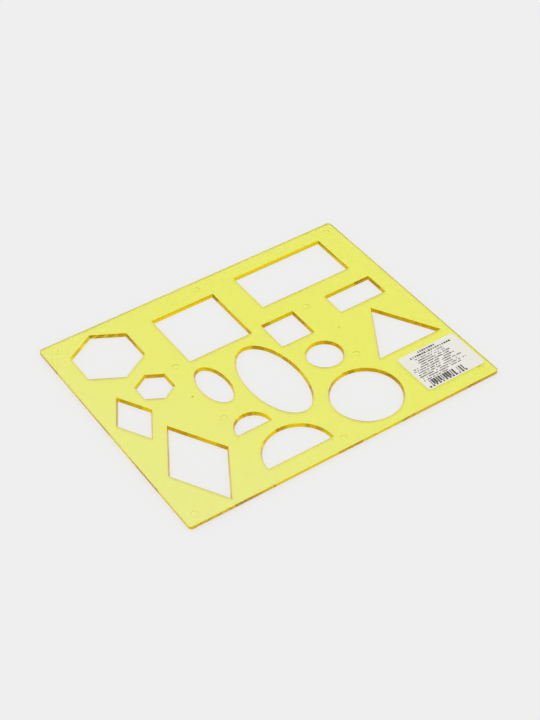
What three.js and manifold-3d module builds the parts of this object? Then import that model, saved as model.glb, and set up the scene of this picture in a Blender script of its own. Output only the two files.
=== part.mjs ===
// Geometric drawing template: one moulded sheet of tinted clear plastic with cut-outs of plane figures,
// most of them in two sizes, and a self-adhesive paper label stuck on its upper face.
// Millimetres, +Z up. The origin is the middle of the sheet's underside, the face that lies on the drawing.
// +X runs along the long side and +Y along the short side.
import * as THREE from 'three';
import { mergeVertices } from 'three/addons/utils/BufferGeometryUtils.js';
import Module from 'manifold-3d';

const wasm = await Module();
wasm.setup();

// Sheet
const SHEET_THICKNESS = 2.2;
const SHEET_CORNER_RADIUS = 2;
const END_MARGIN = 7.2; // from the outermost figures to the short edges
const SIDE_MARGIN = 6.85; // from the outermost figures to the long edges

// Figures, at the size that they draw
const LARGE_SQUARE_SIDE = 40;
const SMALL_SQUARE_SIDE = 20;
const LARGE_RECTANGLE = { length: 60, width: 30 };
const SMALL_RECTANGLE = { length: 30, width: 15 };
const LARGE_HEXAGON_SIDE = 20;
const SMALL_HEXAGON_SIDE = 10;
const TRIANGLE_SIDE = 40;
const LARGE_RHOMBUS_SIDE = 35;
const SMALL_RHOMBUS_SIDE = 20;
const RHOMBUS_POINT_ANGLE = THREE.MathUtils.degToRad(60);
const LARGE_CIRCLE_RADIUS = 20;
const SMALL_CIRCLE_RADIUS = 10;
const LARGE_ELLIPSE = { width: 30, height: 60 };
const SMALL_ELLIPSE = { width: 15, height: 30 };
const LARGE_SEMICIRCLE_RADIUS = 20;
const SMALL_SEMICIRCLE_RADIUS = 10;

// Layout grid, on which the figures' middles are set out
const GRID_STEP = 5;

// Cut-out walls: the pencil runs along the lower rim, and the wall leans outwards up to the upper rim
const PENCIL_CLEARANCE = 0.43;
const WALL_FLARE = 0.72;

// Marks that the mould left on the upper face
const PIN_MARK_RADIUS = 2;
const PIN_MARK_DEPTH = 0.1;
const PIN_PITCH_X = 90; // between the two inner columns of pins
const PIN_PITCH_Y = 50; // between the two inner rows of pins
const GATE_MARK_RADIUS = 0.6;
const GATE_MARK_DEPTH = 0.25;
const GATE_PITCH = 100;
const GATE_SETBACK = 1; // of the two gates from the sheet's middle line towards -Y

// Label
const LABEL = { length: 40, width: 30, cornerRadius: 2 };
const LABEL_PAPER_THICKNESS = 0.09;
const LABEL_ADHESIVE_THICKNESS = 0.03;
const LABEL_END_GAP = 2; // to the sheet's short edge
const LABEL_SIDE_GAP = 9.5; // to the sheet's long edge

// How far a round outline's straight pieces may stray from the curve
const CURVE_ERROR = 0.02;
// How far a cutting body stands past the face that it cuts
const OVERCUT = 1;

// The number of equal pieces that keep a full circle of this radius within the curve error
function piecesInCircle(radius) {
  return Math.ceil(Math.PI / Math.acos(1 - CURVE_ERROR / radius));
}

// Figures, each as its corners in anticlockwise order around its own middle
function rectangle(length, width) {
  const x = length / 2;
  const y = width / 2;
  return [new THREE.Vector2(-x, -y), new THREE.Vector2(x, -y), new THREE.Vector2(x, y), new THREE.Vector2(-x, y)];
}

// A corner points along +Y
function regularPolygon(sides, side) {
  const radius = side / (2 * Math.sin(Math.PI / sides));
  return Array.from({ length: sides }, (_, i) => {
    const angle = Math.PI / 2 + (2 * Math.PI * i) / sides;
    return new THREE.Vector2(radius * Math.cos(angle), radius * Math.sin(angle));
  });
}

// The long diagonal, between the two pointed corners, lies along Y
function rhombus(side) {
  const x = side * Math.sin(RHOMBUS_POINT_ANGLE / 2);
  const y = side * Math.cos(RHOMBUS_POINT_ANGLE / 2);
  return [new THREE.Vector2(0, -y), new THREE.Vector2(x, 0), new THREE.Vector2(0, y), new THREE.Vector2(-x, 0)];
}

function ellipse(width, height) {
  const curve = new THREE.EllipseCurve(0, 0, width / 2, height / 2);
  return curve.getPoints(piecesInCircle(Math.max(width, height) / 2)).slice(0, -1);
}

// The flat side lies towards -Y, with its middle at the figure's middle
function semicircle(radius) {
  const curve = new THREE.EllipseCurve(0, 0, radius, radius, 0, Math.PI);
  return curve.getPoints(Math.ceil(piecesInCircle(radius) / 2));
}

// Each figure's corners and its middle, counted in steps of the layout grid
const FIGURES = [
  { corners: rectangle(LARGE_SQUARE_SIDE, LARGE_SQUARE_SIDE), step: [-3, 9] },
  { corners: rectangle(SMALL_SQUARE_SIDE, SMALL_SQUARE_SIDE), step: [5, 3] },
  { corners: rectangle(LARGE_RECTANGLE.length, LARGE_RECTANGLE.width), step: [11, 11] },
  { corners: rectangle(SMALL_RECTANGLE.length, SMALL_RECTANGLE.width), step: [15, 3.5] },
  { corners: regularPolygon(6, LARGE_HEXAGON_SIDE), step: [-14.4, 11] },
  { corners: regularPolygon(6, SMALL_HEXAGON_SIDE), step: [-12.6, 3.6] },
  { corners: regularPolygon(3, TRIANGLE_SIDE), step: [15, -4.7] },
  { corners: rhombus(LARGE_RHOMBUS_SIDE), step: [-14.7, -9] },
  { corners: rhombus(SMALL_RHOMBUS_SIDE), step: [-17, 0.6] },
  { corners: ellipse(2 * LARGE_CIRCLE_RADIUS, 2 * LARGE_CIRCLE_RADIUS), step: [6, -11] },
  { corners: ellipse(2 * SMALL_CIRCLE_RADIUS, 2 * SMALL_CIRCLE_RADIUS), step: [6, -3] },
  { corners: ellipse(LARGE_ELLIPSE.width, LARGE_ELLIPSE.height), step: [-1, -3] },
  { corners: ellipse(SMALL_ELLIPSE.width, SMALL_ELLIPSE.height), step: [-7, 0] },
  { corners: semicircle(LARGE_SEMICIRCLE_RADIUS), step: [-5, -14] },
  { corners: semicircle(SMALL_SEMICIRCLE_RADIUS), step: [-7, -8] },
];

const outlines = FIGURES.map(({ corners, step }) => {
  const middle = new THREE.Vector2(...step).multiplyScalar(GRID_STEP);
  return corners.map((corner) => corner.clone().add(middle));
});

// The field that the figures take up, whose middle is the sheet's middle
const field = new THREE.Box2().setFromPoints(outlines.flat());
const fieldMiddle = field.getCenter(new THREE.Vector2());
const fieldSize = field.getSize(new THREE.Vector2());
outlines.flat().forEach((corner) => corner.sub(fieldMiddle));
const sheetLength = fieldSize.x + 2 * END_MARGIN;
const sheetWidth = fieldSize.y + 2 * SIDE_MARGIN;

// A closed outline moved outwards by the same distance on every side
function offsetOutline(corners, distance) {
  return corners.map((corner, i) => {
    const before = corners[(i + corners.length - 1) % corners.length];
    const after = corners[(i + 1) % corners.length];
    const lineIn = corner.clone().sub(before).normalize();
    const lineOut = after.clone().sub(corner).normalize();
    const normalIn = new THREE.Vector2(lineIn.y, -lineIn.x);
    const normalOut = new THREE.Vector2(lineOut.y, -lineOut.x);
    const mitre = normalIn.clone().add(normalOut).normalize();
    return corner.clone().addScaledVector(mitre, distance / mitre.dot(normalIn));
  });
}

// The closed body between two outlines of as many corners, one at each height
function loft(lowOutline, lowZ, highOutline, highZ) {
  const count = lowOutline.length;
  const positions = [];
  for (const point of lowOutline) positions.push(point.x, point.y, lowZ);
  for (const point of highOutline) positions.push(point.x, point.y, highZ);
  const index = [];
  for (let i = 0; i < count; i += 1) {
    const next = (i + 1) % count;
    index.push(i, next, count + next, i, count + next, count + i);
  }
  for (const [a, b, c] of THREE.ShapeUtils.triangulateShape(highOutline, [])) {
    index.push(count + a, count + b, count + c, a, c, b);
  }
  const geometry = new THREE.BufferGeometry();
  geometry.setAttribute('position', new THREE.Float32BufferAttribute(positions, 3));
  geometry.setIndex(index);
  return geometry;
}

// The body that cuts one figure out of the sheet, with the lean of the cut-out's walls
function cutter(corners) {
  const leanPerHeight = WALL_FLARE / SHEET_THICKNESS;
  const low = PENCIL_CLEARANCE - leanPerHeight * OVERCUT;
  const high = PENCIL_CLEARANCE + WALL_FLARE + leanPerHeight * OVERCUT;
  return loft(
    offsetOutline(corners, low), -OVERCUT,
    offsetOutline(corners, high), SHEET_THICKNESS + OVERCUT,
  );
}

// A disc that sinks a round mark into the upper face
function markCutter(x, y, radius, depth) {
  const disc = new THREE.CylinderGeometry(radius, radius, depth + OVERCUT, piecesInCircle(radius));
  disc.rotateX(Math.PI / 2);
  disc.translate(x, y, SHEET_THICKNESS + (OVERCUT - depth) / 2);
  return disc;
}

// A flat slab with rounded corners, standing on the height z
function roundedSlab(length, width, radius, thickness, z) {
  const x = length / 2 - radius;
  const y = width / 2 - radius;
  const shape = new THREE.Shape();
  shape.absarc(x, -y, radius, -Math.PI / 2, 0);
  shape.absarc(x, y, radius, 0, Math.PI / 2);
  shape.absarc(-x, y, radius, Math.PI / 2, Math.PI);
  shape.absarc(-x, -y, radius, Math.PI, 1.5 * Math.PI);
  const quarterPieces = Math.ceil(piecesInCircle(radius) / 4);
  const slab = new THREE.ExtrudeGeometry(shape, {
    depth: thickness, bevelEnabled: false, steps: 1, curveSegments: quarterPieces,
  });
  slab.translate(0, 0, z);
  return slab;
}

function solidFrom(geometry) {
  const bare = geometry.clone();
  bare.deleteAttribute('normal');
  bare.deleteAttribute('uv');
  const merged = mergeVertices(bare, 1e-5);
  return new wasm.Manifold(new wasm.Mesh({
    numProp: 3,
    vertProperties: new Float32Array(merged.attributes.position.array),
    triVerts: new Uint32Array(merged.index.array),
  }));
}

function geometryFrom(solid) {
  const mesh = solid.getMesh();
  const geometry = new THREE.BufferGeometry();
  geometry.setAttribute('position', new THREE.BufferAttribute(new Float32Array(mesh.vertProperties), 3));
  geometry.setIndex(new THREE.BufferAttribute(new Uint32Array(mesh.triVerts), 1));
  geometry.computeVertexNormals();
  return geometry;
}

// Middles of the ejector pins: the field's corners, the middles of its long sides, and an inner rectangle
function pinPlaces() {
  const places = [[0, -fieldSize.y / 2], [0, fieldSize.y / 2]];
  for (const sideX of [-1, 1]) {
    for (const sideY of [-1, 1]) {
      places.push([(sideX * fieldSize.x) / 2, (sideY * fieldSize.y) / 2]);
      places.push([(sideX * PIN_PITCH_X) / 2, (sideY * PIN_PITCH_Y) / 2]);
    }
  }
  return places;
}

function templateSheet() {
  let sheet = solidFrom(roundedSlab(sheetLength, sheetWidth, SHEET_CORNER_RADIUS, SHEET_THICKNESS, 0));
  for (const outline of outlines) {
    sheet = sheet.subtract(solidFrom(cutter(outline)));
  }
  for (const [x, y] of pinPlaces()) {
    sheet = sheet.subtract(solidFrom(markCutter(x, y, PIN_MARK_RADIUS, PIN_MARK_DEPTH)));
  }
  for (const side of [-1, 1]) {
    const x = (side * GATE_PITCH) / 2;
    sheet = sheet.subtract(solidFrom(markCutter(x, -GATE_SETBACK, GATE_MARK_RADIUS, GATE_MARK_DEPTH)));
  }
  return geometryFrom(sheet);
}

// One layer of the label, whose place is set from the sheet's near right corner
function labelLayer(thickness, z) {
  const layer = roundedSlab(LABEL.length, LABEL.width, LABEL.cornerRadius, thickness, z);
  layer.translate(
    sheetLength / 2 - LABEL_END_GAP - LABEL.length / 2,
    -sheetWidth / 2 + LABEL_SIDE_GAP + LABEL.width / 2,
    0,
  );
  return layer;
}

function named(name, geometry, material) {
  const mesh = new THREE.Mesh(geometry, new THREE.MeshStandardMaterial(material));
  mesh.name = name;
  return mesh;
}

const template = new THREE.Group();
template.add(named('template_sheet', templateSheet(), {
  color: 0xe6ea62, roughness: 0.08, metalness: 0, transparent: true, opacity: 0.6,
}));
template.add(named('label_adhesive', labelLayer(LABEL_ADHESIVE_THICKNESS, SHEET_THICKNESS), {
  color: 0xe9e4c8, roughness: 0.5, metalness: 0,
}));
template.add(named('label_paper', labelLayer(
  LABEL_PAPER_THICKNESS, SHEET_THICKNESS + LABEL_ADHESIVE_THICKNESS,
), {
  color: 0xe9e6df, roughness: 0.6, metalness: 0,
}));

export default template;
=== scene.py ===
import math
import random

import bmesh
import bpy
from bpy.props import FloatProperty, FloatVectorProperty, IntProperty, PointerProperty
from mathutils import Matrix, Vector


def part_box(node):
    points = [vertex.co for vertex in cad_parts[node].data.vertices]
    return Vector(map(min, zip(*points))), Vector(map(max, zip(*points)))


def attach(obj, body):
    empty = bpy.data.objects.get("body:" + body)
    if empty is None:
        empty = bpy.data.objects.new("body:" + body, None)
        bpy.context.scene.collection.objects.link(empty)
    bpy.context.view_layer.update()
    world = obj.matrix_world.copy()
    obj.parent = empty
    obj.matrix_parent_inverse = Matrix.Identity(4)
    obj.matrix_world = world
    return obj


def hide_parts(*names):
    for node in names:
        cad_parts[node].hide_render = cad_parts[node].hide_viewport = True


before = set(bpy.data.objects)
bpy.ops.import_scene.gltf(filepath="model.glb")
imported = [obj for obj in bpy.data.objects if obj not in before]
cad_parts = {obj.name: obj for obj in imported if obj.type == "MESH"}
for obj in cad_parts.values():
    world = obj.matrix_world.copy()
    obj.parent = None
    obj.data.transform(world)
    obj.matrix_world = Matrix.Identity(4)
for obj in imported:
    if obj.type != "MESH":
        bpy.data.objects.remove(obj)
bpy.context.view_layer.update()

bl_info = {
    "name": "Geometric shape template",
    "version": (1, 0, 0),
    "blender": (4, 5, 0),
    "location": "3D View > Sidebar > Template",
    "description": "Builds a moulded drawing template of clear tinted plastic with a paper label on it",
    "category": "Add Mesh",
}

MM = 0.001
SHEET_LOW, SHEET_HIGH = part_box("template_sheet")
FILM_LOW, FILM_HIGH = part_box("label_adhesive")
PAPER_LOW, PAPER_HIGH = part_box("label_paper")

# How far a round outline's straight pieces may stray from the curve, in millimetres
CURVE_ERROR = 0.004
# Flat steps round each rim
RIM_STEPS = 3
# Corners nearer than this are one corner
WELD = 1e-6
# Edges that turn more than this stay sharp
SHARP_TURN = math.radians(40)
# Upright part of a level face's normal
LEVEL = 0.9999


# Outlines, in millimetres, each with its corners in anticlockwise order round its own middle


def pieces_in_circle(radius):
    return math.ceil(math.pi / math.acos(1 - CURVE_ERROR / radius))


def rectangle(length, width):
    x = length / 2
    y = width / 2
    return [Vector((-x, -y)), Vector((x, -y)), Vector((x, y)), Vector((-x, y))]


def regular_polygon(sides, side):
    """A corner points along +Y."""
    radius = side / (2 * math.sin(math.pi / sides))
    angles = [math.pi / 2 + 2 * math.pi * i / sides for i in range(sides)]
    return [Vector((radius * math.cos(a), radius * math.sin(a))) for a in angles]


def rhombus(side, point_angle=math.radians(60)):
    """The long diagonal, between the two pointed corners, lies along Y."""
    x = side * math.sin(point_angle / 2)
    y = side * math.cos(point_angle / 2)
    return [Vector((0, -y)), Vector((x, 0)), Vector((0, y)), Vector((-x, 0))]


def ellipse(width, height):
    count = pieces_in_circle(max(width, height) / 2)
    angles = [2 * math.pi * i / count for i in range(count)]
    return [Vector((width / 2 * math.cos(a), height / 2 * math.sin(a))) for a in angles]


def semicircle(radius):
    """The flat side lies towards -Y, with its middle at the figure's middle."""
    count = math.ceil(pieces_in_circle(radius) / 2)
    angles = [math.pi * i / count for i in range(count + 1)]
    return [Vector((radius * math.cos(a), radius * math.sin(a))) for a in angles]


def rounded_rectangle(length, width, radius):
    count = math.ceil(pieces_in_circle(radius) / 4)
    outline = []
    for corner, (x, y) in enumerate(((1, -1), (1, 1), (-1, 1), (-1, -1))):
        middle = Vector((x * (length / 2 - radius), y * (width / 2 - radius)))
        for i in range(count + 1):
            angle = math.pi / 2 * (corner - 1 + i / count)
            outline.append(middle + radius * Vector((math.cos(angle), math.sin(angle))))
    return outline


# Each figure at the size that it draws, and its middle in steps of the layout grid
GRID_STEP = 5
FIGURES = [
    (rectangle(40, 40), (-3, 9)),
    (rectangle(20, 20), (5, 3)),
    (rectangle(60, 30), (11, 11)),
    (rectangle(30, 15), (15, 3.5)),
    (regular_polygon(6, 20), (-14.4, 11)),
    (regular_polygon(6, 10), (-12.6, 3.6)),
    (regular_polygon(3, 40), (15, -4.7)),
    (rhombus(35), (-14.7, -9)),
    (rhombus(20), (-17, 0.6)),
    (ellipse(40, 40), (6, -11)),
    (ellipse(20, 20), (6, -3)),
    (ellipse(30, 60), (-1, -3)),
    (ellipse(15, 30), (-7, 0)),
    (semicircle(20), (-5, -14)),
    (semicircle(10), (-7, -8)),
]


def placed_figures():
    """The figures' outlines round the middle of the field that they fill, and that field's size."""
    outlines = [[corner + GRID_STEP * Vector(step) for corner in corners] for corners, step in FIGURES]
    xs = [corner.x for outline in outlines for corner in outline]
    ys = [corner.y for outline in outlines for corner in outline]
    middle = Vector((max(xs) + min(xs), max(ys) + min(ys))) / 2
    field = Vector((max(xs) - min(xs), max(ys) - min(ys)))
    return [[corner - middle for corner in outline] for outline in outlines], field


def mitres(outline):
    """How far each corner moves when every side moves outwards by one unit."""
    moves = []
    for i, corner in enumerate(outline):
        way_in = (corner - outline[i - 1]).normalized()
        way_out = (outline[(i + 1) % len(outline)] - corner).normalized()
        square_in = Vector((way_in.y, -way_in.x))
        square_out = Vector((way_out.y, -way_out.x))
        middle = (square_in + square_out).normalized()
        moves.append(middle / middle.dot(square_in))
    return moves


# Sizes and colours that a user would change


class SheetSizes(bpy.types.PropertyGroup):
    """Sheet"""

    corner_radius: FloatProperty(
        name="Corner radius", description="Radius of the sheet's four corners",
        default=2 * MM, min=0.1 * MM, unit="LENGTH", precision=5,
    )
    rim_radius: FloatProperty(
        name="Rim radius", description="Small radius that the polished mould leaves on every edge",
        default=0.12 * MM, min=0.01 * MM, max=0.6 * MM, unit="LENGTH", precision=5,
    )
    pencil_clearance: FloatProperty(
        name="Pencil clearance", description="Room for the pencil's point all round a figure",
        default=0.43 * MM, min=0, unit="LENGTH", precision=5,
    )
    wall_flare: FloatProperty(
        name="Wall flare", description="How far a cut-out's wall leans out up to the upper face",
        default=0.72 * MM, min=0, unit="LENGTH", precision=5,
    )
    pin_mark_radius: FloatProperty(
        name="Pin mark radius", description="Radius of the round marks that the ejector pins left",
        default=2 * MM, min=0.1 * MM, unit="LENGTH", precision=5,
    )
    pin_mark_depth: FloatProperty(
        name="Pin mark depth", description="Depth of the ejector pin marks",
        default=0.1 * MM, min=0.01 * MM, unit="LENGTH", precision=5,
    )
    inner_pins_length: FloatProperty(
        name="Inner pins, length", description="Distance between the two inner columns of pins",
        default=90 * MM, min=0, unit="LENGTH",
    )
    inner_pins_width: FloatProperty(
        name="Inner pins, width", description="Distance between the two inner rows of pins",
        default=50 * MM, min=0, unit="LENGTH",
    )
    gate_mark_radius: FloatProperty(
        name="Gate mark radius", description="Radius of the pits where the two gates were",
        default=0.6 * MM, min=0.1 * MM, unit="LENGTH", precision=5,
    )
    gate_mark_depth: FloatProperty(
        name="Gate mark depth", description="Depth of the gate marks",
        default=0.25 * MM, min=0.01 * MM, unit="LENGTH", precision=5,
    )
    gate_pitch: FloatProperty(
        name="Gate pitch", description="Distance between the two gate marks",
        default=100 * MM, min=0, unit="LENGTH",
    )
    gate_setback: FloatProperty(
        name="Gate setback", description="Distance of the gate marks from the sheet's middle line",
        default=1 * MM, unit="LENGTH",
    )


class LabelSizes(bpy.types.PropertyGroup):
    """Label"""

    corner_radius: FloatProperty(
        name="Corner radius", description="Radius of the label's corners",
        default=2 * MM, min=0.1 * MM, unit="LENGTH", precision=5,
    )
    cut_edge_radius: FloatProperty(
        name="Cut edge radius", description="Small radius along the paper's cut edge",
        default=0.02 * MM, min=0.001 * MM, unit="LENGTH", precision=6,
    )
    ink_thickness: FloatProperty(
        name="Ink thickness", description="Height of the print above the paper",
        default=0.005 * MM, min=0.001 * MM, unit="LENGTH", precision=6,
    )
    film_gap: FloatProperty(
        name="Film gap", description="Air left between the adhesive film and the plastic",
        default=0.003 * MM, min=0.001 * MM, unit="LENGTH", precision=6,
    )
    row_pitch: FloatProperty(
        name="Row pitch", description="Distance between two rows of small print",
        default=1.66 * MM, min=0.5 * MM, unit="LENGTH", precision=5,
    )
    row_count: IntProperty(
        name="Rows", description="Number of rows of small print",
        default=11, min=1, max=14,
    )
    seed: IntProperty(
        name="Seed", description="Seed for the lengths of the rows and the widths of the printed marks",
        default=7, min=0,
    )


class Finishes(bpy.types.PropertyGroup):
    """Finishes"""

    face_tint: FloatVectorProperty(
        name="Face tint", description="Tint that light takes where it crosses a polished face",
        default=(0.972, 1.0, 0.43), size=3, min=0, max=1, subtype="COLOR",
    )
    # Painted light: the faces' tint where they are painted paler, as if lit more brightly, towards the near
    # left corner
    painted_light_tint: FloatVectorProperty(
        name="Pale tint", description="Face tint at the corner that the plastic reached last in the mould",
        default=(0.972, 1.0, 0.71), size=3, min=0, max=1, subtype="COLOR",
    )
    # Painted light: the deeper amber of walls and edges, standing in for the long paths that light takes
    # through the sheet
    painted_wall_amber: FloatVectorProperty(
        name="Wall tint", description="Tint that light takes where it crosses a wall or an edge",
        default=(0.905, 0.675, 0.001), size=3, min=0, max=1, subtype="COLOR",
    )
    # Partly real, partly painted light: the walls' fine grain scatters some light, and the amber that it
    # scatters is a painted glow standing in for light carried inside the sheet
    painted_wall_glow: FloatVectorProperty(
        name="Cloudy wall", description="Colour of the light that the walls' fine grain scatters",
        default=(0.7, 0.53, 0.0), size=3, min=0, max=1, subtype="COLOR",
    )
    # Share of a wall that shows the grain's scatter with its painted glow
    wall_haze_and_glow: FloatProperty(
        name="Wall haze", description="Share of the light from outside that a wall's fine grain scatters",
        default=0.3, min=0, max=1, subtype="FACTOR",
    )
    # Painted shade: how much a wall's inside is darkened where light grazes it, which darkens the lines
    # along the edges
    wall_painted_shade: FloatProperty(
        name="Wall loss", description="Share of the light grazing a wall from inside that its grain takes",
        default=1.0, min=0, max=1, subtype="FACTOR",
    )
    gloss_tint: FloatVectorProperty(
        name="Gloss tint", description="Tint of what the plastic's surface mirrors",
        default=(1.0, 0.95, 0.12), size=3, min=0, max=1, subtype="COLOR",
    )
    absorption: FloatVectorProperty(
        name="Absorption", description="Red, green and blue light that a metre of the plastic takes",
        default=(2.0, 8.0, 260.0), size=3, min=0,
    )
    refraction: FloatProperty(
        name="Refraction", description="Refractive index of the plastic",
        default=1.57, min=1, max=2,
    )
    paper: FloatVectorProperty(
        name="Paper", description="Colour of the label's paper",
        default=(0.83, 0.805, 0.735), size=3, min=0, max=1, subtype="COLOR",
    )
    ink: FloatVectorProperty(
        name="Ink", description="Colour of the print",
        default=(0.025, 0.024, 0.022), size=3, min=0, max=1, subtype="COLOR",
    )
    worn_ink: FloatVectorProperty(
        name="Worn ink", description="Colour of the print where it is worn away",
        default=(0.42, 0.405, 0.38), size=3, min=0, max=1, subtype="COLOR",
    )
    film: FloatVectorProperty(
        name="Adhesive film", description="Colour of the film under the label",
        default=(0.72, 0.68, 0.5), size=3, min=0, max=1, subtype="COLOR",
    )


class StageSettings(bpy.types.PropertyGroup):
    """Stage"""

    floor_colour: FloatVectorProperty(
        name="Floor", description="Colour of the floor",
        default=(0.863, 0.863, 0.863), size=3, min=0, max=1, subtype="COLOR",
    )
    floor_size: FloatProperty(
        name="Floor size", description="Length of the floor's sides",
        default=12, min=1, unit="LENGTH",
    )
    floor_gap: FloatProperty(
        name="Floor gap", description="Air between the floor and the sheet's underside",
        default=0.1 * MM, min=0, unit="LENGTH", precision=5,
    )
    floor_evenness: FloatProperty(
        name="Floor evenness", description="How much fainter the floor's shadows are than in full",
        default=0.6, min=0, max=1, subtype="FACTOR",
    )
    key_strength: FloatProperty(
        name="Key strength", description="Share of the floor's light that the wide soft key light gives",
        default=0.137, min=0,
    )


SETTINGS = {
    "template_sheet_sizes": SheetSizes,
    "template_label_sizes": LabelSizes,
    "template_finishes": Finishes,
    "template_stage": StageSettings,
}


# Node trees


class Wire:
    """A node's output, on which the usual signs add Math nodes."""

    def __init__(self, tree, socket):
        self.tree = tree
        self.socket = socket

    def __add__(self, other):
        return self.tree.maths("ADD", self, other)

    def __radd__(self, other):
        return self.tree.maths("ADD", other, self)

    def __sub__(self, other):
        return self.tree.maths("SUBTRACT", self, other)

    def __rsub__(self, other):
        return self.tree.maths("SUBTRACT", other, self)

    def __mul__(self, other):
        return self.tree.maths("MULTIPLY", self, other)

    def __rmul__(self, other):
        return self.tree.maths("MULTIPLY", other, self)

    def __truediv__(self, other):
        return self.tree.maths("DIVIDE", self, other)

    def __rtruediv__(self, other):
        return self.tree.maths("DIVIDE", other, self)

    def __pow__(self, other):
        return self.tree.maths("POWER", self, other)

    def __neg__(self):
        return self.tree.maths("MULTIPLY", self, -1)

    def output(self, name):
        """Another output of the same node."""
        return Wire(self.tree, self.socket.node.outputs[name])


class Tree:
    """A node tree, in which one method adds any node."""

    def __init__(self, nodes):
        self.nodes = nodes

    def add(self, kind, settings=None, values=None, output=0):
        """A node of this kind with these settings, and then these values or wires in its sockets."""
        node = self.nodes.nodes.new(kind)
        for name, setting in (settings or {}).items():
            setattr(node, name, setting)
        for name, value in (values or {}).items():
            for item in value if isinstance(value, list) else [value]:
                self.feed(node.inputs[name], item)
        return Wire(self, node.outputs[output]) if node.outputs else node

    def feed(self, socket, value):
        if isinstance(value, Wire):
            self.nodes.links.new(value.socket, socket)
        else:
            socket.default_value = value

    def mix(self, share, first, second, how="MIX"):
        """Two colours mixed, or blended in another way."""
        settings = {"data_type": "RGBA", "blend_type": how}
        return self.add("ShaderNodeMix", settings, {0: share, 6: first, 7: second}, output=2)

    def maths(self, operation, *terms):
        return self.add("ShaderNodeMath", {"operation": operation}, dict(enumerate(terms)))

    def vector(self, operation, *terms, output=0):
        settings = {"operation": operation}
        values = dict(enumerate(terms))
        if operation == "SCALE":
            values = {0: terms[0], "Scale": terms[1]}
        return self.add("ShaderNodeVectorMath", settings, values, output)


def geometry_tree(name, sockets):
    """A geometry tree with these named inputs, and its inputs as wires."""
    group = bpy.data.node_groups.new(name, "GeometryNodeTree")
    group.interface.new_socket("Geometry", in_out="OUTPUT", socket_type="NodeSocketGeometry")
    for socket, kind in sockets.items():
        group.interface.new_socket(socket, in_out="INPUT", socket_type="NodeSocket" + kind)
    tree = Tree(group)
    source = group.nodes.new("NodeGroupInput")
    wires = {socket: Wire(tree, source.outputs[socket]) for socket in sockets}
    return tree, wires


def end_tree(tree, geometry, material):
    """Ends a geometry tree with real faces of this material."""
    real = tree.add("GeometryNodeRealizeInstances", None, {"Geometry": geometry})
    painted = tree.add("GeometryNodeSetMaterial", None, {"Geometry": real, "Material": material})
    tree.add("NodeGroupOutput", None, {"Geometry": painted})
    return tree


def run_tree(piece, tree, values):
    """Runs a geometry tree on a piece with these inputs, and leaves the result as its plain mesh."""
    modifier = piece.modifiers.new(tree.nodes.name, "NODES")
    modifier.node_group = tree.nodes
    items = {item.name: item for item in tree.nodes.interface.items_tree if item.in_out == "INPUT"}
    for name, value in values.items():
        modifier[items[name].identifier] = value
    depsgraph = bpy.context.evaluated_depsgraph_get()
    made = bpy.data.meshes.new_from_object(
        piece.evaluated_get(depsgraph), preserve_all_data_layers=True, depsgraph=depsgraph
    )
    if not made.polygons:
        raise RuntimeError(f"{piece.name} came out with no faces")
    piece.modifiers.clear()
    rough = piece.data
    piece.data = made
    bpy.data.meshes.remove(rough)
    made.name = piece.name


def face_outwards(mesh):
    """Turns the faces of a closed mesh outwards, and leaves only its level faces flat."""
    shape = bmesh.new()
    shape.from_mesh(mesh)
    bmesh.ops.recalc_face_normals(shape, faces=shape.faces)
    for face in shape.faces:
        face.smooth = abs(face.normal.z) < LEVEL
    for edge in shape.edges:
        edge.smooth = edge.calc_face_angle() < SHARP_TURN
    shape.to_mesh(mesh)
    shape.free()


def new_piece(name, mesh):
    piece = bpy.data.objects.new(name, mesh)
    bpy.context.scene.collection.objects.link(piece)
    return piece


def join_frame(piece, slot, *nodes):
    """Puts a finished piece on the frame, in place of these nodes."""
    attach(piece, "root")
    if nodes:
        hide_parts(*nodes)


# Moulded sheet


def outline_mesh(sizes):
    """Closed loops of edges: the sheet's own outline and every figure's, at the size that it draws."""
    figures, field = placed_figures()
    length, width = ((SHEET_HIGH - SHEET_LOW) / MM).xy
    sheet = rounded_rectangle(length, width, sizes.corner_radius / MM)
    loops = [(sheet, -1.0)] + [(figure, 1.0) for figure in figures]
    corners, edges, into, is_figure = [], [], [], []
    for outline, side in loops:
        first = len(corners)
        count = len(outline)
        corners += [(corner.x * MM, corner.y * MM, 0) for corner in outline]
        edges += [(first + i, first + (i + 1) % count) for i in range(count)]
        for move in mitres(outline):
            into += [side * move.x, side * move.y, 0]
            is_figure.append(max(side, 0))
    mesh = bpy.data.meshes.new("outlines")
    mesh.from_pydata(corners, edges, [])
    mesh.attributes.new("into_plastic", "FLOAT_VECTOR", "POINT").data.foreach_set("vector", into)
    mesh.attributes.new("is_figure", "FLOAT", "POINT").data.foreach_set("value", is_figure)
    return mesh, field * MM


def wall_profile(tree, thickness, clearance, flare, rim):
    """The wall with both its rims, from the underside up, as pairs of way into the plastic and height."""
    slant = (flare * flare + thickness * thickness) ** 0.5
    lean = tree.maths("ARCTAN2", flare, -thickness)
    # How far up the slanted wall each rim's arc touches it
    low = rim * (slant + flare) / thickness
    high = (thickness - rim + rim * flare / slant) * slant / thickness
    arcs = (
        (low, rim, 1.5 * math.pi, lean),
        (high, thickness - rim, lean, 0.5 * math.pi),
    )
    profile = []
    for along, height, start, end in arcs:
        middle = clearance + along * flare / slant + rim * thickness / slant
        for step in range(RIM_STEPS + 1):
            angle = start + (end - start) * (step / RIM_STEPS)
            way = middle + rim * tree.maths("COSINE", angle)
            profile.append((way, height + rim * tree.maths("SINE", angle)))
    return profile


def named_value(tree, name, kind):
    return tree.add("GeometryNodeInputNamedAttribute", {"data_type": kind}, {"Name": name})


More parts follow.
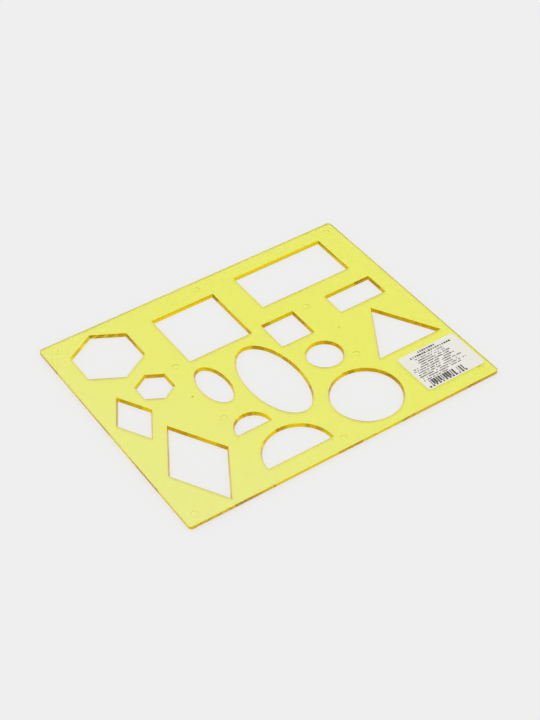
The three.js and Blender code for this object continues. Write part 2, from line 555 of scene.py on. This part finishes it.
def swept_wall(tree, loops, steps):
    """Ribbons of faces that grow from loops of edges by these moves, and the edges of the last one."""
    mesh = loops
    last = True
    for move in steps:
        grown = tree.add(
            "GeometryNodeExtrudeMesh", {"mode": "EDGES"},
            {"Mesh": mesh, "Selection": last, "Offset Scale": 0.0},
        )
        last = grown.output("Top")
        mesh = tree.add("GeometryNodeSetPosition", None, {
            "Geometry": grown, "Selection": last, "Offset": move,
        })
    return mesh, last


def filled(tree, curves, height):
    """Flat faces inside curves, with every inner curve left open."""
    faces = tree.add("GeometryNodeFillCurve", {"mode": "TRIANGLES"}, {"Curve": curves})
    lift = tree.add("ShaderNodeCombineXYZ", None, {"Z": height})
    return tree.add("GeometryNodeTransform", None, {"Geometry": faces, "Translation": lift})


def joined(tree, *parts):
    return tree.add("GeometryNodeJoinGeometry", None, {"Geometry": list(parts)})


def grained_and_painted(tree, faces, share):
    """Faces that carry their share of the walls' grain and tint, with the painted amber, painted glow and
    painted shade that the walls get.
    """
    return tree.add(
        "GeometryNodeStoreNamedAttribute", {"data_type": "FLOAT", "domain": "FACE"},
        {"Geometry": faces, "Name": "wall", "Value": share},
    )


# The round marks' section from the rim to the floor, as shares of the depth: way inwards, and way down.
# A fine groove runs round the floor
MARK_SECTION = ((0.1, 0.1), (0.3, 0.9), (0.9, 1.5), (1.5, 1.5), (2.3, 1.0))
# Share of the walls' grain and tint, with their painted amber, painted glow and painted shade, that a mark's
# side has
MARK_WALL_SHARE = 0.25
# Straight pieces round each kind of mark
PIN_MARK_SIDES = 64
GATE_MARK_SIDES = 32


def mark(tree, radius, depth, sides):
    """A round sunk mark's rim as a loop of edges, and its wall and floor as faces."""
    rim = tree.add("GeometryNodeMeshCircle", {"fill_type": "NONE"}, {"Vertices": sides, "Radius": radius})
    place = tree.add("GeometryNodeInputPosition")
    moves = []
    inwards, down = 0.0, 0.0
    for next_inwards, next_down in MARK_SECTION:
        shrink = (depth * (inwards - next_inwards)) / (radius - depth * inwards)
        level = tree.add("ShaderNodeCombineXYZ", None, {"X": shrink, "Y": shrink})
        fall = tree.add("ShaderNodeCombineXYZ", None, {"Z": depth * (down - next_down)})
        moves.append(tree.vector("ADD", tree.vector("MULTIPLY", place, level), fall))
        inwards, down = next_inwards, next_down
    wall, last = swept_wall(tree, rim, moves)
    edge = tree.add("GeometryNodeMeshToCurve", None, {"Mesh": wall, "Selection": last})
    floor = filled(tree, edge, -depth)
    return rim, joined(tree, grained_and_painted(tree, wall, MARK_WALL_SHARE), floor)


def repeated(tree, points, shape):
    placed = tree.add("GeometryNodeInstanceOnPoints", None, {"Points": points, "Instance": shape})
    return tree.add("GeometryNodeRealizeInstances", None, {"Geometry": placed})


def sheet_tree():
    """The tree that turns outlines into the moulded sheet with its marks."""
    tree, wires = geometry_tree("Moulded sheet", {
        "Outlines": "Geometry",
        "Thickness": "Float",
        "Rim Radius": "Float",
        "Pencil Clearance": "Float",
        "Wall Flare": "Float",
        "Pin Mark Radius": "Float",
        "Pin Mark Depth": "Float",
        "Outer Pins Length": "Float",
        "Outer Pins Width": "Float",
        "Inner Pins Length": "Float",
        "Inner Pins Width": "Float",
        "Gate Mark Radius": "Float",
        "Gate Mark Depth": "Float",
        "Gate Pitch": "Float",
        "Gate Setback": "Float",
        "Plastic": "Material",
    })
    thickness = wires["Thickness"]
    is_figure = named_value(tree, "is_figure", "FLOAT")
    into = named_value(tree, "into_plastic", "FLOAT_VECTOR")
    clearance = wires["Pencil Clearance"] * is_figure
    flare = wires["Wall Flare"] * is_figure
    rim = wires["Rim Radius"]
    profile = wall_profile(tree, thickness, clearance, flare, rim)

    def move(way, height):
        rise = tree.add("ShaderNodeCombineXYZ", None, {"Z": height})
        return tree.vector("ADD", tree.vector("SCALE", into, way), rise)

    steps = [move(b[0] - a[0], b[1] - a[1]) for a, b in zip(profile, profile[1:])]
    start = tree.add(
        "GeometryNodeSetPosition", None, {"Geometry": wires["Outlines"], "Offset": move(*profile[0])}
    )
    wall, last = swept_wall(tree, start, steps)
    upper_edge = tree.add("GeometryNodeMeshToCurve", None, {"Mesh": wall, "Selection": last})
    lower_edge = tree.add("GeometryNodeMeshToCurve", None, {"Mesh": start})
    # The sheet's own rims are as polished as its faces
    place = tree.add("GeometryNodeInputPosition")
    height = tree.add("ShaderNodeSeparateXYZ", None, {"Vector": place}, output="Z")
    between_rims = tree.maths("COMPARE", height, thickness / 2, thickness / 2 - rim)
    wall = grained_and_painted(tree, wall, tree.maths("MAXIMUM", between_rims, is_figure))

    lift = tree.add("ShaderNodeCombineXYZ", None, {"Z": thickness})
    outer_pins = tree.add("GeometryNodeMeshGrid", None, {
        "Size X": wires["Outer Pins Length"], "Size Y": wires["Outer Pins Width"],
        "Vertices X": 3, "Vertices Y": 2,
    })
    inner_pins = tree.add("GeometryNodeMeshGrid", None, {
        "Size X": wires["Inner Pins Length"], "Size Y": wires["Inner Pins Width"],
        "Vertices X": 2, "Vertices Y": 2,
    })
    pins = joined(tree, outer_pins, inner_pins)
    pins = tree.add("GeometryNodeTransform", None, {"Geometry": pins, "Translation": lift})
    gate_start = tree.add("ShaderNodeCombineXYZ", None, {
        "X": wires["Gate Pitch"] * -0.5, "Y": -wires["Gate Setback"], "Z": thickness,
    })
    gate_step = tree.add("ShaderNodeCombineXYZ", None, {"X": wires["Gate Pitch"]})
    gates = tree.add(
        "GeometryNodeMeshLine", None, {"Count": 2, "Start Location": gate_start, "Offset": gate_step}
    )
    pin_rim, pin_cup = mark(tree, wires["Pin Mark Radius"], wires["Pin Mark Depth"], PIN_MARK_SIDES)
    gate_rim, gate_cup = mark(
        tree, wires["Gate Mark Radius"], wires["Gate Mark Depth"], GATE_MARK_SIDES
    )
    rims = joined(tree, repeated(tree, pins, pin_rim), repeated(tree, gates, gate_rim))
    rim_curves = tree.add("GeometryNodeMeshToCurve", None, {"Mesh": rims})
    whole = joined(
        tree,
        wall,
        filled(tree, joined(tree, upper_edge, rim_curves), thickness),
        filled(tree, lower_edge, 0.0),
        repeated(tree, pins, pin_cup),
        repeated(tree, gates, gate_cup),
    )
    welded = tree.add("GeometryNodeMergeByDistance", None, {"Geometry": whole, "Distance": WELD})
    return end_tree(tree, welded, wires["Plastic"])


# Finishes


def new_finish(name):
    """A material whose tree holds only its output, and that tree."""
    material = bpy.data.materials.new(name)
    material.use_nodes = True
    material.node_tree.nodes.clear()
    return material, Tree(material.node_tree)


def finish_surface(tree, values):
    shader = tree.add("ShaderNodeBsdfPrincipled", None, values)
    tree.add("ShaderNodeOutputMaterial", None, {"Surface": shader})


def object_place(tree):
    return tree.add("ShaderNodeTexCoord", output="Object")


def noise(tree, place, scale, detail):
    return tree.add("ShaderNodeTexNoise", None, {"Vector": place, "Scale": scale, "Detail": detail})


# Plastic. Scales are noise cells in a metre

# Slow change of the tint where the plastic flowed, and how much of it there is
FLOW_SCALE = 22.0
FLOW_TINT = (0.93, 0.97, 0.93, 1)
FLOW_SHARE = 0.02
# Painted light: the faces are painted paler along this way, as if lit more brightly there, between these
# distances from the sheet's middle in metres
PAINTED_LIGHT_WAY = (-1.0, -0.45, 0.0)
PAINTED_LIGHT_START = -0.04
PAINTED_LIGHT_END = 0.15
# Roughness of a polished face, and what haze, scuffs and the walls' grain add to it
FACE_ROUGHNESS = 0.018
HAZE_ROUGHNESS = 0.03
SCUFF_ROUGHNESS = 0.03
WALL_ROUGHNESS = 0.1
HAZE_SCALE = 260.0
# Scuffs are long and thin, turned a little from the sheet's long side, and few
SCUFF_SCALES = (60, 2600, 60)
SCUFF_TURN = (0, 0, 0.5)
SCUFF_START = 0.62
SCUFF_FULL = 0.75
# Shallow ripple of the faces, and the scuffs' height as a share of it
RIPPLE_SCALE = 180.0
RIPPLE_STRENGTH = 0.25
RIPPLE_HEIGHT = 0.00002
SCUFF_HEIGHT = 0.04
# Depth of the painted amber on the sheet's own edges, as a share of the cut-outs' walls'
EDGE_AMBER_SHARE = 0.7
# Painted shade on a wall's inside: the dark colour that it leaves of light grazing the wall, which darkens
# the lines along the edges, and how fast that shade fades away from grazing light
PAINTED_EDGE_SHADE = (0.32, 0.17, 0.0, 1)
GRAZING_POWER = 2


def clear_plastic(finishes):
    """Polished clear tinted plastic, whose colour comes from the way that light goes through it."""
    material, tree = new_finish("tinted_plastic")
    place = object_place(tree)
    wall = tree.add("ShaderNodeAttribute", {"attribute_name": "wall"}, output="Fac")
    flow = noise(tree, place, FLOW_SCALE, 3.0)
    # Painted light: the faces are painted paler towards the near left corner
    way = tree.vector("DOT_PRODUCT", place, PAINTED_LIGHT_WAY, output="Value")
    pale = tree.add("ShaderNodeMapRange", {"interpolation_type": "SMOOTHSTEP"}, {
        "Value": way, "From Min": PAINTED_LIGHT_START, "From Max": PAINTED_LIGHT_END,
    })
    tint = tree.mix(pale, (*finishes.face_tint, 1), (*finishes.painted_light_tint, 1))
    # Painted light: walls and edges are painted a deeper amber that stands in for the long paths of light
    # through the sheet, and the sheet's own edges get less of it than the cut-outs' walls
    figure = tree.add("ShaderNodeAttribute", {"attribute_name": "is_figure"}, output="Fac")
    depth = wall * (EDGE_AMBER_SHARE + figure * (1 - EDGE_AMBER_SHARE))
    tint = tree.mix(depth, tint, (*finishes.painted_wall_amber, 1))
    tint = tree.mix(flow * FLOW_SHARE, tint, FLOW_TINT, "MULTIPLY")
    haze = noise(tree, place, HAZE_SCALE, 4.0)
    long_way = tree.add("ShaderNodeMapping", None, {
        "Vector": place, "Rotation": SCUFF_TURN, "Scale": SCUFF_SCALES,
    })
    fine = tree.add("ShaderNodeMapRange", None, {
        "Value": noise(tree, long_way, 1.0, 2.0), "From Min": SCUFF_START, "From Max": SCUFF_FULL,
    })
    roughness = FACE_ROUGHNESS + haze * HAZE_ROUGHNESS + fine * SCUFF_ROUGHNESS + wall * WALL_ROUGHNESS
    normal = tree.add("ShaderNodeBump", None, {
        "Strength": RIPPLE_STRENGTH, "Distance": RIPPLE_HEIGHT,
        "Height": noise(tree, place, RIPPLE_SCALE, 1.0) + fine * SCUFF_HEIGHT,
    })
    taken = finishes.absorption
    density = max(taken)
    colour = (*[1 - share / density for share in taken], 1)
    volume = tree.add("ShaderNodeVolumeAbsorption", None, {"Color": colour, "Density": density})
    surface_values = {
        "Roughness": roughness, "Normal": normal,
        "IOR": finishes.refraction, "Specular Tint": (*finishes.gloss_tint, 1),
    }
    clear = tree.add("ShaderNodeBsdfPrincipled", None, {
        **surface_values, "Base Color": tint, "Transmission Weight": 1.0,
    })
    # The walls' fine grain scatters some light from outside, in a painted amber glow that stands in for
    # light carried inside the sheet, and from inside it lays painted shade where light grazes a wall
    inside = tree.add("ShaderNodeNewGeometry", output="Backfacing")
    grazing = tree.add("ShaderNodeLayerWeight", None, {"Blend": 0.5}, output="Facing")
    # Painted glow seen from outside, painted shade seen from inside
    grain = tree.mix(inside, (*finishes.painted_wall_glow, 1), PAINTED_EDGE_SHADE)
    glow_and_shade_surface = tree.add("ShaderNodeBsdfPrincipled", None, {**surface_values, "Base Color": grain})
    grazing_shade = grazing ** GRAZING_POWER * finishes.wall_painted_shade
    share = wall * (finishes.wall_haze_and_glow + inside * (grazing_shade - finishes.wall_haze_and_glow))
    surface = tree.add("ShaderNodeMixShader", None, {0: share, 1: clear, 2: glow_and_shade_surface})
    tree.add("ShaderNodeOutputMaterial", None, {"Surface": surface, "Volume": volume})
    return material


# Paper: slow clouds in its colour, and fine fibres in its gloss and its relief
CLOUD_SCALE = 420.0
CLOUD_TINT = (0.86, 0.83, 0.76, 1)
CLOUD_SHARE = 0.08
FIBRE_SCALE = 3800.0
FIBRE_STRENGTH = 0.3
FIBRE_HEIGHT = 0.00001
PAPER_ROUGHNESS = 0.5
FIBRE_ROUGHNESS = 0.15


def coated_paper(finishes):
    """Off-white coated label stock with faint fibres."""
    material, tree = new_finish("label_paper")
    place = object_place(tree)
    clouds = noise(tree, place, CLOUD_SCALE, 3.0)
    fibres = noise(tree, place, FIBRE_SCALE, 4.0)
    normal = tree.add("ShaderNodeBump", None, {
        "Strength": FIBRE_STRENGTH, "Distance": FIBRE_HEIGHT, "Height": fibres,
    })
    finish_surface(tree, {
        "Base Color": tree.mix(clouds * CLOUD_SHARE, (*finishes.paper, 1), CLOUD_TINT, "MULTIPLY"),
        "Roughness": PAPER_ROUGHNESS + fibres * FIBRE_ROUGHNESS,
        "Normal": normal,
    })
    return material


# Ink: fine wear in its colour and gloss
WEAR_SCALE = 5200.0
WEAR_SHARE = 0.15
INK_ROUGHNESS = 0.45
WEAR_ROUGHNESS = 0.2


def dry_ink(finishes):
    """Thin dark print, a little worn."""
    material, tree = new_finish("print_ink")
    wear = noise(tree, object_place(tree), WEAR_SCALE, 3.0)
    finish_surface(tree, {
        "Base Color": tree.mix(wear * WEAR_SHARE, (*finishes.ink, 1), (*finishes.worn_ink, 1)),
        "Roughness": INK_ROUGHNESS + wear * WEAR_ROUGHNESS,
    })
    return material


# Adhesive film: tiny bubbles in its colour and gloss
BUBBLE_SCALE = 1500.0
BUBBLE_TINT = (0.8, 0.77, 0.62, 1)
BUBBLE_SHARE = 0.3
FILM_ROUGHNESS = 0.4
BUBBLE_ROUGHNESS = 0.2


def adhesive_film(finishes):
    """Soft pale film with tiny bubbles."""
    material, tree = new_finish("adhesive")
    place = object_place(tree)
    bubbles = tree.add("ShaderNodeTexVoronoi", None, {"Vector": place, "Scale": BUBBLE_SCALE})
    finish_surface(tree, {
        "Base Color": tree.mix(bubbles * BUBBLE_SHARE, (*finishes.film, 1), BUBBLE_TINT),
        "Roughness": FILM_ROUGHNESS + bubbles * BUBBLE_ROUGHNESS,
    })
    return material


# Operators


class TEMPLATE_OT_sheet(bpy.types.Operator):
    """Makes the moulded sheet with its cut-outs and the marks of its mould"""

    bl_idname = "template.sheet"
    bl_label = "Moulded Sheet"

    def execute(self, context):
        sizes = context.scene.template_sheet_sizes
        mesh, field = outline_mesh(sizes)
        piece = new_piece("moulded_sheet", mesh)
        run_tree(piece, sheet_tree(), {
            "Thickness": SHEET_HIGH.z - SHEET_LOW.z,
            "Rim Radius": sizes.rim_radius,
            "Pencil Clearance": sizes.pencil_clearance,
            "Wall Flare": sizes.wall_flare,
            "Pin Mark Radius": sizes.pin_mark_radius,
            "Pin Mark Depth": sizes.pin_mark_depth,
            "Outer Pins Length": field.x,
            "Outer Pins Width": field.y,
            "Inner Pins Length": sizes.inner_pins_length,
            "Inner Pins Width": sizes.inner_pins_width,
            "Gate Mark Radius": sizes.gate_mark_radius,
            "Gate Mark Depth": sizes.gate_mark_depth,
            "Gate Pitch": sizes.gate_pitch,
            "Gate Setback": sizes.gate_setback,
            "Plastic": clear_plastic(context.scene.template_finishes),
        })
        face_outwards(piece.data)
        join_frame(piece, "tinted_plastic", "template_sheet")
        return {"FINISHED"}


def rounded_slab(name, low, high, radius, edge, material):
    """A thin flat slab with rounded corners and soft edges, between these corners of its box."""
    length, width = ((high - low) / MM).xy
    middle = (high + low) / 2
    outline = rounded_rectangle(length, width, radius / MM)
    shape = bmesh.new()
    corners = [shape.verts.new((middle.x + c.x * MM, middle.y + c.y * MM, low.z)) for c in outline]
    lower = shape.faces.new(corners)
    grown = bmesh.ops.extrude_face_region(shape, geom=[lower])
    upper = [item for item in grown["geom"] if isinstance(item, bmesh.types.BMVert)]
    bmesh.ops.translate(shape, verts=upper, vec=(0, 0, high.z - low.z))
    rim = [item for item in shape.edges if abs(item.verts[0].co.z - item.verts[1].co.z) < WELD]
    bmesh.ops.bevel(shape, geom=rim, offset=edge, segments=2, profile=0.5, affect="EDGES")
    mesh = bpy.data.meshes.new(name)
    shape.to_mesh(mesh)
    shape.free()
    mesh.materials.append(material)
    face_outwards(mesh)
    return mesh


class TEMPLATE_OT_label(bpy.types.Operator):
    """Makes the paper label and the adhesive film under it"""

    bl_idname = "template.label"
    bl_label = "Paper Label"

    def execute(self, context):
        sizes = context.scene.template_label_sizes
        finishes = context.scene.template_finishes
        top = Vector((PAPER_HIGH.x, PAPER_HIGH.y, PAPER_HIGH.z - sizes.ink_thickness))
        paper = rounded_slab(
            "label_stock", PAPER_LOW, top, sizes.corner_radius, sizes.cut_edge_radius, coated_paper(finishes)
        )
        join_frame(new_piece("label_stock", paper), "label_paper", "label_paper")
        base = Vector((FILM_LOW.x, FILM_LOW.y, FILM_LOW.z + sizes.film_gap))
        film = rounded_slab(
            "label_film", base, FILM_HIGH, sizes.corner_radius, sizes.film_gap, adhesive_film(finishes)
        )
        join_frame(new_piece("label_film", film), "adhesive", "label_adhesive")
        return {"FINISHED"}


# Label print


# What each row's ends carry: the distance between marks, their width, height and how much their width
# varies, and the share of them that is there
ROW_MARKS = ("mark_pitch", "mark_width", "mark_height", "mark_swing", "mark_kept")
# Rows: left end, right end and middle line from the label's near left corner, then the marks' pitch, width,
# height, swing and share, with lengths in millimetres
HEAD_ROWS = (
    (13.9, 24.9, 28.2, 1.5, 0.94, 1.4, 0.35, 1.0),
    (7.1, 34.4, 25.95, 1.55, 0.97, 1.35, 0.5, 0.93),
)
FOOT_ROWS = (
    (4.5, 26.9, 4.3, 1.6, 0.85, 4.2, 0.7, 0.95),
    (2.4, 27.6, 1.5, 2.1, 1.35, 1.25, 0.3, 1.0),
)
SMALL_MARKS = (0.8, 0.6, 0.85, 0.3, 0.77)
# Rows of small print: the first one's middle line, and where they start and end
FIRST_ROW = 23.95
ROW_START = 2.0
ROW_START_SWING = 0.5
ROW_ENDS = (27.5, 34.5)
LAST_ROW_END = 19.3
# The first of them start further in, beside a bare place
SHORT_ROWS = 4
SHORT_ROW_START = 8.5


class PrintRow:
    """A row of plain marks on the label."""

    def __init__(self, left, right, middle, pitch, width, height, swing, kept):
        self.ends = (left, right)
        self.middle = middle
        self.marks = dict(zip(ROW_MARKS, (pitch * MM, width * MM, height * MM, swing, kept)))


def print_rows(sizes):
    draw = random.Random(sizes.seed)
    rows = [PrintRow(*row) for row in HEAD_ROWS]
    for i in range(sizes.row_count):
        start = (SHORT_ROW_START if i < SHORT_ROWS else ROW_START) + draw.uniform(0, ROW_START_SWING)
        end = draw.uniform(*ROW_ENDS) if i < sizes.row_count - 1 else LAST_ROW_END
        rows.append(PrintRow(start, end, FIRST_ROW - i * sizes.row_pitch / MM, *SMALL_MARKS))
    return rows + [PrintRow(*row) for row in FOOT_ROWS]


def rows_mesh(rows, height):
    """One edge for each row, with its marks' sizes at both ends."""
    places, values = [], {name: [] for name in ROW_MARKS}
    for row in rows:
        for end in row.ends:
            places.append((PAPER_LOW.x + end * MM, PAPER_LOW.y + row.middle * MM, height))
            for name in ROW_MARKS:
                values[name].append(row.marks[name])
    mesh = bpy.data.meshes.new("print_rows")
    mesh.from_pydata(places, [(2 * i, 2 * i + 1) for i in range(len(rows))], [])
    for name in ROW_MARKS:
        mesh.attributes.new(name, "FLOAT", "POINT").data.foreach_set("value", values[name])
    return mesh


def print_tree():
    """The tree that sets plain marks of uneven size along rows."""
    tree, wires = geometry_tree("Printed rows", {
        "Rows": "Geometry",
        "Ink Thickness": "Float",
        "Seed": "Int",
        "Ink": "Material",
    })
    seed = wires["Seed"]
    row = {name: named_value(tree, name, "FLOAT") for name in ROW_MARKS}
    curves = tree.add("GeometryNodeMeshToCurve", None, {"Mesh": wires["Rows"]})
    points = tree.add(
        "GeometryNodeResampleCurve", {"mode": "LENGTH"}, {"Curve": curves, "Length": row["mark_pitch"]}
    )
    block = tree.add("GeometryNodeMeshCube", None, {"Size": (1, 1, 1)})
    block = tree.add("GeometryNodeTransform", None, {"Geometry": block, "Translation": (0, 0, 0.5)})
    there = tree.add(
        "FunctionNodeRandomValue", {"data_type": "BOOLEAN"},
        {"Probability": row["mark_kept"], "Seed": seed}, output=3,
    )

    def uneven(size, turn):
        swing = tree.add(
            "FunctionNodeRandomValue", {"data_type": "FLOAT"},
            {2: -1.0, 3: 1.0, "Seed": seed + turn}, output=1,
        )
        return size * (1 + row["mark_swing"] * swing)

    scale = tree.add("ShaderNodeCombineXYZ", None, {
        "X": uneven(row["mark_width"], 1),
        "Y": row["mark_height"],
        "Z": wires["Ink Thickness"],
    })
    marks = tree.add("GeometryNodeInstanceOnPoints", None, {
        "Points": points, "Selection": there, "Instance": block, "Scale": scale,
    })
    return end_tree(tree, marks, wires["Ink"])


# Share of the ink's thickness that reaches into the paper, so that no gap is left under it
PRINT_ROOT = 0.4


class TEMPLATE_OT_print(bpy.types.Operator):
    """Makes the label's plain print: rows of blocks and stripes that say nothing"""

    bl_idname = "template.print"
    bl_label = "Label Print"

    def execute(self, context):
        sizes = context.scene.template_label_sizes
        root = sizes.ink_thickness * PRINT_ROOT
        base = PAPER_HIGH.z - sizes.ink_thickness - root
        piece = new_piece("label_print", rows_mesh(print_rows(sizes), base))
        run_tree(piece, print_tree(), {
            "Ink Thickness": sizes.ink_thickness + root,
            "Seed": sizes.seed,
            "Ink": dry_ink(context.scene.template_finishes),
        })
        face_outwards(piece.data)
        join_frame(piece, "label_paper")
        return {"FINISHED"}


# Stage

# Times that light may turn inside the clear sheet before it leaves it
LIGHT_BOUNCES = 48

# Key light, as the direction that it comes from and the width of its disc in the sky
KEY_AZIMUTH = math.radians(-110)
KEY_ELEVATION = math.radians(86)
KEY_WIDTH = math.radians(80)

# Camera of the photograph, fitted to the edges in it
CAMERA_AZIMUTH = math.radians(-32.943)
CAMERA_ELEVATION = math.radians(42.970)
CAMERA_ROLL = math.radians(-1.552)
CAMERA_PLACE = Vector((-0.367218, -0.571081, 0.634022))
CAMERA_LENS = 81.79
SENSOR_WIDTH = 36
NEAREST_SEEN = 0.01
FARTHEST_SEEN = 100
# How far the view is moved right and down, in pixels of the photograph's 720 rows
VIEW_ROWS = 720
VIEW_RIGHT = 0.58
VIEW_DOWN = 0.83


def direction(azimuth, elevation):
    """The way out from the origin. Azimuth 0 lies along -Y, and 90 degrees along +X."""
    return Vector((
        math.sin(azimuth) * math.cos(elevation),
        -math.cos(azimuth) * math.cos(elevation),
        math.sin(elevation),
    ))


def make_floor(stage):
    half = stage.floor_size / 2
    low = -stage.floor_gap
    corners = [(-half, -half, low), (half, -half, low), (half, half, low), (-half, half, low)]
    mesh = bpy.data.meshes.new("floor")
    mesh.from_pydata(corners, [], [(0, 1, 2, 3)])
    material, tree = new_finish("floor")
    colour = (*stage.floor_colour, 1)
    matt = tree.add("ShaderNodeBsdfDiffuse", None, {"Color": colour})
    # What the camera, the gloss and the clear plastic show is partly an even floor with fainter shadows
    even = tree.add("ShaderNodeEmission", None, {"Color": colour, "Strength": 1.0})
    camera_ray = tree.add("ShaderNodeLightPath", output="Is Camera Ray")
    seen = camera_ray
    for ray in ("Is Glossy Ray", "Is Transmission Ray"):
        seen = tree.maths("MAXIMUM", seen, camera_ray.output(ray))
    surface = tree.add("ShaderNodeMixShader", None, {0: seen * stage.floor_evenness, 1: matt, 2: even})
    # From below the floor is clear, so that the underside can be looked at
    from_below = tree.add("ShaderNodeNewGeometry", output="Backfacing")
    clear = tree.add("ShaderNodeBsdfTransparent")
    surface = tree.add("ShaderNodeMixShader", None, {0: from_below, 1: surface, 2: clear})
    tree.add("ShaderNodeOutputMaterial", None, {"Surface": surface})
    mesh.materials.append(material)
    new_piece("floor", mesh)


def make_light(scene, stage):
    world = bpy.data.worlds.new("soft_sky")
    world.use_nodes = True
    world.node_tree.nodes.clear()
    tree = Tree(world.node_tree)
    # The sky is as bright as the lit floor, so that they meet without a line
    sky = tree.add("ShaderNodeBackground", None, {"Color": (*stage.floor_colour, 1), "Strength": 1.0})
    tree.add("ShaderNodeOutputWorld", None, {"Surface": sky})
    scene.world = world
    lamp = bpy.data.lights.new("key", "SUN")
    lamp.angle = KEY_WIDTH
    toward = direction(KEY_AZIMUTH, KEY_ELEVATION)
    lamp.energy = stage.key_strength * math.pi / toward.z
    key = bpy.data.objects.new("key", lamp)
    key.rotation_euler = toward.to_track_quat("Z", "Y").to_euler()
    scene.collection.objects.link(key)


def make_camera(scene):
    back = direction(CAMERA_AZIMUTH, CAMERA_ELEVATION)
    right = Vector((math.cos(CAMERA_AZIMUTH), math.sin(CAMERA_AZIMUTH), 0))
    level = Matrix((right, back.cross(right), back)).transposed()
    turn = level @ Matrix.Rotation(CAMERA_ROLL, 3, "Z")
    data = bpy.data.cameras.new("camera")
    data.lens = CAMERA_LENS
    data.sensor_width = SENSOR_WIDTH
    data.shift_x = -VIEW_RIGHT / VIEW_ROWS
    data.shift_y = VIEW_DOWN / VIEW_ROWS
    data.clip_start = NEAREST_SEEN
    data.clip_end = FARTHEST_SEEN
    camera = bpy.data.objects.new("camera", data)
    camera.matrix_world = Matrix.Translation(CAMERA_PLACE) @ turn.to_4x4()
    scene.collection.objects.link(camera)
    scene.camera = camera


class TEMPLATE_OT_stage(bpy.types.Operator):
    """Makes the floor, the light and the camera"""

    bl_idname = "template.stage"
    bl_label = "Stage"

    def execute(self, context):
        scene = context.scene
        make_floor(scene.template_stage)
        make_light(scene, scene.template_stage)
        make_camera(scene)
        scene.view_settings.view_transform = "Standard"
        scene.cycles.max_bounces = LIGHT_BOUNCES
        scene.cycles.transmission_bounces = LIGHT_BOUNCES
        scene.cycles.glossy_bounces = LIGHT_BOUNCES
        # No blur of the light that gloss and clear plastic pass on
        scene.cycles.blur_glossy = 0.0
        return {"FINISHED"}


# Panel


class TEMPLATE_PT_panel(bpy.types.Panel):
    """Lists the template's sizes, its finishes and the operators that make it"""

    bl_idname = "TEMPLATE_PT_panel"
    bl_label = "Geometric Shape Template"
    bl_space_type = "VIEW_3D"
    bl_region_type = "UI"
    bl_category = "Template"

    def draw(self, context):
        for name, group in SETTINGS.items():
            box = self.layout.box()
            box.label(text=group.__doc__)
            for value in group.__annotations__:
                box.prop(getattr(context.scene, name), value)
        for operator in OPERATORS:
            self.layout.operator(operator.bl_idname)


OPERATORS = (TEMPLATE_OT_sheet, TEMPLATE_OT_label, TEMPLATE_OT_print, TEMPLATE_OT_stage)


def register():
    for item in (*SETTINGS.values(), *OPERATORS, TEMPLATE_PT_panel):
        bpy.utils.register_class(item)
    for name, group in SETTINGS.items():
        setattr(bpy.types.Scene, name, PointerProperty(type=group))


def unregister():
    for name in SETTINGS:
        delattr(bpy.types.Scene, name)
    for item in (TEMPLATE_PT_panel, *OPERATORS, *SETTINGS.values()):
        bpy.utils.unregister_class(item)


def main():
    register()
    bpy.ops.template.sheet()
    bpy.ops.template.label()
    bpy.ops.template.print()
    bpy.ops.template.stage()


if __name__ == "__main__":
    main()
